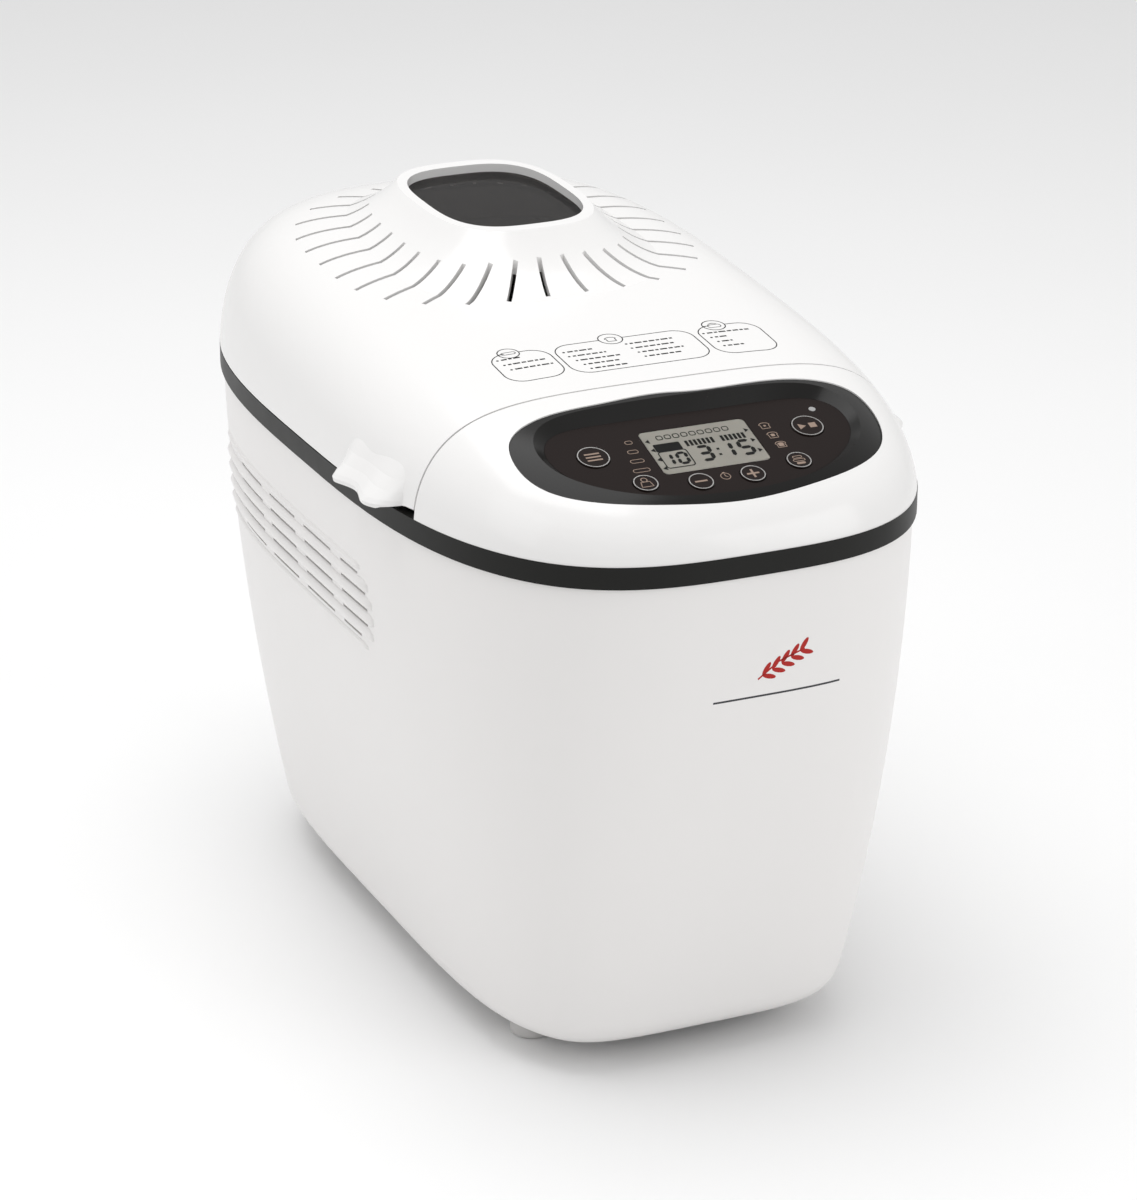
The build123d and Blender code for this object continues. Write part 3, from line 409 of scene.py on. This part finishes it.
def digit(char, x, y, width, height, thick, lean=0.06):
    """Seven-segment digit with bevelled segment ends."""
    lit = SEGMENTS[char]
    gap = thick * 0.18
    half = height / 2

    def flat(cx, cy, length):
        h = thick / 2
        x0, x1 = cx - length / 2, cx + length / 2
        return [(x0, cy), (x0 + h, cy + h), (x1 - h, cy + h), (x1, cy), (x1 - h, cy - h), (x0 + h, cy - h)]

    def tall(cx, cy, length):
        h = thick / 2
        y0, y1 = cy - length / 2, cy + length / 2
        return [(cx, y0), (cx + h, y0 + h), (cx + h, y1 - h), (cx, y1), (cx - h, y1 - h), (cx - h, y0 + h)]

    shapes = {
        "a": flat(width / 2, height, width - gap), "g": flat(width / 2, half, width - gap),
        "d": flat(width / 2, 0, width - gap), "f": tall(0, half * 1.5, half - gap),
        "b": tall(width, half * 1.5, half - gap), "e": tall(0, half * 0.5, half - gap),
        "c": tall(width, half * 0.5, half - gap),
    }
    return [patch([(x + px + lean * py, y + py) for px, py in shapes[key]]) for key in lit]


# Display face: corners on the panel, in millimetres from the panel's centre.
LCD_LEFT, LCD_BOTTOM, LCD_RIGHT, LCD_TOP = -24.3, -22.6, 24.3, 6.8
LCD_CORNER = 2.3
FACE_DEPTH, FACE_LIFT = -0.00016, 0.00005
SEGMENT_DEPTH, SEGMENT_LIFT = -0.00010, 0.00008
# Lit digits: character, left, bottom, width, height, thickness.
DIGITS = [
    ("1", -20.0, -16.8, 2.8, 7.0, 1.5), ("0", -14.4, -16.8, 3.9, 7.0, 1.5),
    ("3", -4.2, -17.0, 5.0, 9.2, 1.8), ("1", 6.2, -17.0, 4.4, 9.2, 1.8), ("5", 14.6, -17.0, 5.0, 9.2, 1.8),
]
COLON_DOTS = [(4.0, -15.2), (4.4, -11.4)]
COLON_SIZE = 1.2
# Rows of upright bars: left end and number of bars.
BAR_ROWS = [(-7.0, 7), (9.4, 6)]
BAR_PITCH, BAR_WIDTH, BAR_BOTTOM, BAR_TOP = 1.95, 1.25, -6.2, -2.4
# Row of small round-cornered boxes along the top.
CELL_COUNT, CELL_LEFT, CELL_PITCH, CELL_HALF, CELL_BOTTOM, CELL_TOP = 9, -16.4, 3.8, 1.3, 0.6, 3.2
# Arrowheads down both edges: side and heights.
ARROW_ROWS = [(-1, (0.4, -5.8, -12.4, -18.6)), (1, (-1.2, -8.3, -15.5))]
ARROW_X, ARROW_LENGTH, ARROW_HALF = 23.6, 1.9, 1.3


def display_marks():
    marks = []
    for char, x, y, width, height, thick in DIGITS:
        marks += digit(char, x, y, width, height, thick)
    for x, y in COLON_DOTS:
        marks.append(bar(x, y, x + COLON_SIZE, y + COLON_SIZE))
    marks.append(stroke(rounded_box(-21.4, -18.9, -8.6, -7.6, 1.4), 0.5, True))
    marks.append(patch(rounded_box(-21.4, -7.4, -9.4, -2.2, 0.6)))
    for left, count in BAR_ROWS:
        for part in range(count):
            x = left + part * BAR_PITCH
            marks.append(bar(x, BAR_BOTTOM, x + BAR_WIDTH, BAR_TOP))
    for part in range(CELL_COUNT):
        x = CELL_LEFT + CELL_PITCH * part
        cell = rounded_box(x - CELL_HALF, CELL_BOTTOM, x + CELL_HALF, CELL_TOP, 0.8)
        marks.append(stroke(cell, 0.4, True))
    for side, rows in ARROW_ROWS:
        tip, tail = side * ARROW_X, side * (ARROW_X - ARROW_LENGTH)
        for y in rows:
            marks.append(patch([(tip, y), (tail, y + ARROW_HALF), (tail, y - ARROW_HALF)][::side]))
    return marks


def build_display():
    mark_mesh(
        "display_segments", display_marks(), on_panel(SEGMENT_DEPTH), SEGMENT_LIFT,
        M["segment"], "chassis",
    )
    face = [patch(rounded_box(LCD_LEFT, LCD_BOTTOM, LCD_RIGHT, LCD_TOP, LCD_CORNER, 8))]
    mark_mesh("display_face", face, on_panel(FACE_DEPTH), FACE_LIFT, M["lcd"], "chassis")


# ---- keys ----
# Centre across and up the panel, and radius, in millimetres.
KEYS = {
    "menu": (-49.5, -5.0, 7.0), "start_stop": (49.5, -5.0, 7.0), "weight": (-35.2, -26.6, 5.4),
    "colour": (35.2, -26.6, 5.4), "minus": (-11.9, -30.8, 5.4), "plus": (11.9, -30.8, 5.4),
}
KEY_TOP = 0.0005
KEY_RING_INSET, KEY_RING_WIDTH = 0.36, 0.46


def key_icon(name, x, y):
    """The picture on each key; the colour key's is a stack of three loaves."""
    if name == "menu":
        return [bar(x - 3.4, y + dy - 0.45, x + 3.4, y + dy + 0.45) for dy in (2.1, 0.0, -2.1)]
    if name == "start_stop":
        play = patch([(x - 4.0, y - 1.9), (x - 0.7, y), (x - 4.0, y + 1.9)])
        return [play, bar(x + 0.8, y - 1.6, x + 4.0, y + 1.6)]
    if name == "minus":
        return [bar(x - 2.8, y - 0.5, x + 2.8, y + 0.5)]
    if name == "plus":
        return [bar(x - 2.8, y - 0.5, x + 2.8, y + 0.5), bar(x - 0.5, y + 0.5, x + 0.5, y + 2.8),
                bar(x - 0.5, y - 2.8, x + 0.5, y - 0.5)]
    if name == "weight":
        cup = [(x - 2.6, y - 2.6), (x + 2.6, y - 2.6), (x + 2.0, y + 0.6), (x - 2.0, y + 0.6)]
        neck = bar(x - 0.25, y + 0.7, x + 0.25, y + 1.0)
        return [stroke(cup, 0.4, True), ring(x, y + 2.0, 1.3, 0.4, 20), neck]
    marks = []
    for row, size in enumerate((2.0, 2.6, 2.0)):
        points = rounded_box(x - size, y - 2.9 + 2.1 * row, x + size, y - 1.5 + 2.1 * row, 0.6)
        marks.append(patch(points) if row == 0 else stroke(points, 0.35, True))
    return marks


def build_keys():
    for name, (x, y, radius) in KEYS.items():
        body = name + "_key"
        rim = [ring(x, y, radius - KEY_RING_INSET, KEY_RING_WIDTH, 48)]
        icon = key_icon(name, x, y)
        mark_mesh("ring_" + name, rim, on_panel(KEY_TOP), RING_LIFT, M["silver"], body)
        mark_mesh("icon_" + name, icon, on_panel(KEY_TOP), ICON_LIFT, M["print_taupe"], body)


def loaf_slice(x, y, size):
    """Small slice of bread in outline."""
    outline = [(x - size, y - size), (x + size, y - size), (x + size, y + 0.2 * size)]
    for i in range(9):
        turn = pi * i / 8
        outline.append((x + 1.25 * size * cos(turn), y + 0.35 * size + 0.75 * size * sin(turn)))
    outline.append((x - size, y + 0.2 * size))
    return outline


def build_panel_print():
    """Four bars growing on the left, three loaves on the right and a clock between the small keys."""
    marks = []
    for row, length in enumerate((3.2, 4.6, 6.0, 7.4)):
        y = 1.6 - 6.4 * row
        x = -30.6 - 0.8 * row
        shape = rounded_box(x - length / 2, y - 1.1, x + length / 2, y + 1.1, 1.0)
        marks.append(stroke(shape, 0.3, True))
    for row in range(3):
        x, y = 31.6 + 0.6 * row, -0.4 - 6.9 * row
        marks.append(stroke(loaf_slice(x, y, 1.9), 0.35, True))
        marks.append(patch(loaf_slice(x, y, 0.5 + 0.35 * row)))
    clock_y = -29.4
    marks.append(ring(0, clock_y, 2.1, 0.35, 28))
    marks.append(stroke([(0, clock_y), (0.0, -27.9)], 0.35))
    marks.append(stroke([(0, clock_y), (1.0, -30.0)], 0.35))
    marks.append(bar(-0.5, -27.2, 0.5, -26.6))
    mark_mesh("panel_print", marks, on_panel(0), PRINT_LIFT, M["print_taupe"], "chassis")


# ---- print on the lid ----
DASH_LENGTHS = (2.6, 1.5, 3.3, 2.0)
DASH_HALF, DASH_GAP, DASH_LEAST = 0.58, 0.75, 0.6
DOT_RADIUS, DOT_INSET, DOT_ROOM = 0.62, 0.7, 2.4


def dashes(x0, x1, y, first):
    """One row of short dashes behind a dot, standing in for a line of print."""
    marks = [disc(x0 + DOT_INSET, y, DOT_RADIUS, 10)]
    x, part = x0 + DOT_ROOM, first
    while x < x1 - DASH_LEAST:
        end = min(x + DASH_LENGTHS[part % 4], x1)
        marks.append(bar(x, y - DASH_HALF, end, y + DASH_HALF))
        x, part = end + DASH_GAP, part + 1
    return marks


FRAME_BACK = -69.8
FRAME_CORNER, FRAME_WIDTH = 8.5, 0.5


def frame_round_ring(x0, x1, y0, y1, ring_x, ring_r):
    """Rounded frame whose back line stops either side of a small ring."""
    outline = rounded_box(x0, y0, x1, y1, FRAME_CORNER, 8)
    back = [p for p in outline if p[1] > y1 - 0.01]
    start = outline.index(min(back))
    turned = outline[start:] + outline[:start]
    line = [(ring_x - ring_r, y1)] + turned + [(ring_x + ring_r, y1)]
    return [stroke(line, FRAME_WIDTH), ring(ring_x, y1, ring_r, FRAME_WIDTH, 36)]


# Frame's left, right and front edge, its ring's middle and radius, and each row's start, end and y.
PRINT_GROUPS = [
    (-61.5, -34.5, -98.5, -51.0, 4.8, [(-59, -48, -75.2), (-58, -38.5, -80.5), (-57, -37, -85.8)]),
    (-32.0, 33.0, -100.3, -3.0, 5.4, [
        (-29, -14, -77.2), (-28.5, -10.5, -82.0), (-27, -5, -86.8), (-25.5, -8.5, -91.6), (-24.5, -6, -96.4),
        (0.5, 23, -77.2), (1, 21.5, -82.1), (2, 24, -87.0), (3, 21, -91.9),
    ]),
    (36.0, 65.5, -100.3, 46.6, 5.2, [
        (37.5, 60, -77.2), (39, 48, -82.1), (40, 47.5, -87.0), (40.5, 50.5, -91.9),
    ]),
]


def build_lid_print():
    place = from_above(surface("lid_shell"))
    marks = []
    for x0, x1, y0, ring_x, ring_r, rows in PRINT_GROUPS:
        marks += frame_round_ring(x0, x1, y0, FRAME_BACK, ring_x, ring_r)
        for number, (start, end, y) in enumerate(rows):
            marks += dashes(start, end, y, number)
    marks.append(stroke(rounded_box(-54.2, -70.9, -47.8, -68.7, 1.0), 0.4, True))
    marks.append(stroke(loaf_slice(-3.0, -70.3, 2.0), 0.45, True))
    marks.append(stroke(rounded_box(43.6, -72.0, 49.6, -69.0, 1.2), 0.4, True))
    marks.append(stroke([(44.6, -68.2), (46.6, -67.4), (48.6, -68.2)], 0.45))
    mark_mesh("lid_print", marks, place, PRINT_LIFT, M["print_black"], "lid")


# ---- front badge: an ear of wheat over a plain line ----
GRAIN_PAIRS = 5
GRAIN_LENGTH, GRAIN_HALF = 3.3, 1.15
EAR_LEAN, GRAIN_SPLAY = 22, 38


def wheat_grain(x, z, turn):
    """Long oval whose near end is at (x, z)."""
    points = []
    for px, pz in circle(0, 0, 1.0, 12):
        px, pz = GRAIN_LENGTH + GRAIN_LENGTH * px, GRAIN_HALF * pz
        points.append((x + px * cos(turn) - pz * sin(turn), z + px * sin(turn) + pz * cos(turn)))
    return patch(points)


def build_badge():
    place = from_front(surface("outer_housing"))
    marks = [stroke([(4, 192), (13, 199), (25, 203)], 0.8)]
    for i in range(GRAIN_PAIRS):
        t = i / (GRAIN_PAIRS - 1)
        for side in (-1, 1):
            marks.append(wheat_grain(6 + 17 * t, 193.6 + 8.6 * t, radians(EAR_LEAN + side * GRAIN_SPLAY)))
    mark_mesh("front_badge", marks, place, PRINT_LIFT, M["print_red"], "chassis")
    line = [stroke([(-16, 184), (44, 184)], 0.9)]
    mark_mesh("badge_line", line, place, PRINT_LIFT, M["print_grey"], "chassis")


# ---- ribs of the side grilles ----
# Slits and ribs run along Y; RIB_FRONTS are the ribs' front ends, from the top rib down.
SLIT_TOP, SLIT_PITCH, SLIT_ROWS = 0.2057, 0.0077, 5
RIB_FRONTS = (-0.0580, -0.0650, -0.0675, -0.0675, -0.0655, -0.0575)
GRILLE_REAR = 0.137
SLIT_CLEAR = 0.0014
WALL_LEAST_X = 0.09
RIB_FADE = 0.004
RIB_BURIED, RIB_LIP = 0.0004, 0.00005
RIB_WIDTH, RIB_HEIGHT = 0.0064, 0.0017
EDGE_RIB_WIDTH, EDGE_RIB_HEIGHT = 0.0034, 0.0010


def from_side(tree, side):
    """Finds the side wall, also where the straight line in would pass through a slit."""
    def place(y, z):
        for shift in (0, SLIT_CLEAR, -SLIT_CLEAR):
            hit, normal, _, _ = tree.ray_cast(Vector((side, y, z + shift)), Vector((-side, 0, 0)))
            if hit is not None and hit.x * side >= WALL_LEAST_X and normal.x * side >= 0.5:
                break
        return hit, normal
    return place


def rib(place, z, y0, y1, width, height):
    """Soft ridge along the wall whose ends die into it."""
    verts, faces = [], []
    long, across = 48, 8
    for i in range(long + 1):
        t = i / long
        y = y0 + (y1 - y0) * t
        fade = min(1.0, min(t, 1 - t) * (y1 - y0) / RIB_FADE)
        swell = sqrt(1 - (1 - fade) ** 2)
        for j in range(across + 1):
            s = 2 * j / across - 1
            hit, normal = place(y, z + s * width / 2 * (0.6 + 0.4 * swell))
            verts.append(hit + normal * (height * swell * cos(s * pi / 2) - RIB_LIP))
    back = len(verts)
    for i in range(long + 1):
        for j in range(across + 1):
            hit, normal = place(y0 + (y1 - y0) * i / long, z + (2 * j / across - 1) * width / 2)
            verts.append(hit - normal * RIB_BURIED)
    row = across + 1
    for i in range(long):
        for j in range(across):
            a, b, c, d = i * row + j, i * row + j + 1, (i + 1) * row + j + 1, (i + 1) * row + j
            faces += [(a, b, c, d), (back + d, back + c, back + b, back + a)]
        first, last = i * row, i * row + across
        faces += [(first, first + row, back + first + row, back + first)]
        faces += [(last + row, last, back + last, back + last + row)]
    for j in range(across):
        end = long * row + j
        faces += [(j + 1, j, back + j, back + j + 1), (end, end + 1, back + end + 1, back + end)]
    return verts, faces


def build_ribs():
    wall = surface("outer_housing")
    for side, word in ((-1, "left"), (1, "right")):
        place = from_side(wall, side)
        verts, faces = [], []
        for number, nose in enumerate(RIB_FRONTS):
            z = SLIT_TOP + SLIT_PITCH * (0.5 - number)
            edge = number in (0, SLIT_ROWS)
            width = EDGE_RIB_WIDTH if edge else RIB_WIDTH
            height = EDGE_RIB_HEIGHT if edge else RIB_HEIGHT
            more_verts, more_faces = rib(place, z, nose, GRILLE_REAR, width, height)
            faces += [tuple(index + len(verts) for index in face) for face in more_faces]
            verts += more_verts
        piece("grille_ribs_" + word, verts, faces, M["casing"], "chassis", True)


# ---- stage ----
FLOOR_HALF = 4.0


def build_stage():
    mesh = bpy.data.meshes.new("floor")
    corners = [
        (-FLOOR_HALF, -FLOOR_HALF, 0), (FLOOR_HALF, -FLOOR_HALF, 0),
        (FLOOR_HALF, FLOOR_HALF, 0), (-FLOOR_HALF, FLOOR_HALF, 0),
    ]
    mesh.from_pydata(corners, [], [(0, 1, 2, 3)])
    mat, tree, shader = new_material("floor white")
    mottle = noise(tree, 3, 2)
    darker, lighter = (0.90, 0.90, 0.90), (0.92, 0.92, 0.92)
    two_tone(tree, mottle.outputs["Fac"], darker, lighter, shader.inputs["Base Color"])
    shader.inputs["Roughness"].default_value = 0.7
    mesh.materials.append(mat)
    floor = bpy.data.objects.new("floor", mesh)
    bpy.context.scene.collection.objects.link(floor)


# Name, place, point aimed at, width and height, watts.
LIGHTS = [
    ("overhead", (-0.2, 0.2, 1.9), (0, 0, 0.2), (1.6, 1.6), 19),
    ("front", (1.2, -1.6, 0.8), (0, 0, 0.12), (1.2, 1.2), 7),
    ("left", (-1.8, -0.2, 1.2), (0, 0, 0.20), (1.0, 1.4), 3),
]
SKY_STRENGTH = 0.66


def area_light(name, at, target, size, power):
    light = bpy.data.lights.new(name, "AREA")
    light.shape = "RECTANGLE"
    light.size, light.size_y = size
    light.energy = power
    obj = bpy.data.objects.new(name, light)
    obj.location = at
    obj.rotation_euler = (Vector(target) - Vector(at)).to_track_quat("-Z", "Y").to_euler()
    bpy.context.scene.collection.objects.link(obj)


def build_lights():
    world = bpy.data.worlds.new("studio")
    world.use_nodes = True
    background = world.node_tree.nodes["Background"]
    background.inputs["Color"].default_value = (1.0, 1.0, 1.0, 1)
    background.inputs["Strength"].default_value = SKY_STRENGTH
    bpy.context.scene.world = world
    for light in LIGHTS:
        area_light(*light)


CAMERA_AZIMUTH, CAMERA_ELEVATION, CAMERA_DISTANCE = -23.87, 21.57, 1.9071
CAMERA_AIM = Vector((0, 0, 0.150))
CAMERA_LENS, CAMERA_SHIFT_X, CAMERA_SHIFT_Y = 124.36, 0.0145, 0.00875


def build_camera():
    azimuth, elevation = radians(CAMERA_AZIMUTH), radians(CAMERA_ELEVATION)
    back = Vector((sin(azimuth) * cos(elevation), -cos(azimuth) * cos(elevation), sin(elevation)))
    data = bpy.data.cameras.new("camera")
    data.sensor_width = 36
    data.lens = CAMERA_LENS
    data.shift_x = CAMERA_SHIFT_X
    data.shift_y = CAMERA_SHIFT_Y
    camera = bpy.data.objects.new("camera", data)
    camera.location = CAMERA_AIM + back * CAMERA_DISTANCE
    camera.rotation_euler = back.to_track_quat("Z", "Y").to_euler()
    bpy.context.scene.collection.objects.link(camera)
    bpy.context.scene.camera = camera


bpy.context.scene.view_settings.view_transform = "Standard"
paint_nodes()
build_display()
build_keys()
build_panel_print()
build_lid_print()
build_badge()
build_ribs()
build_stage()
build_lights()
build_camera()
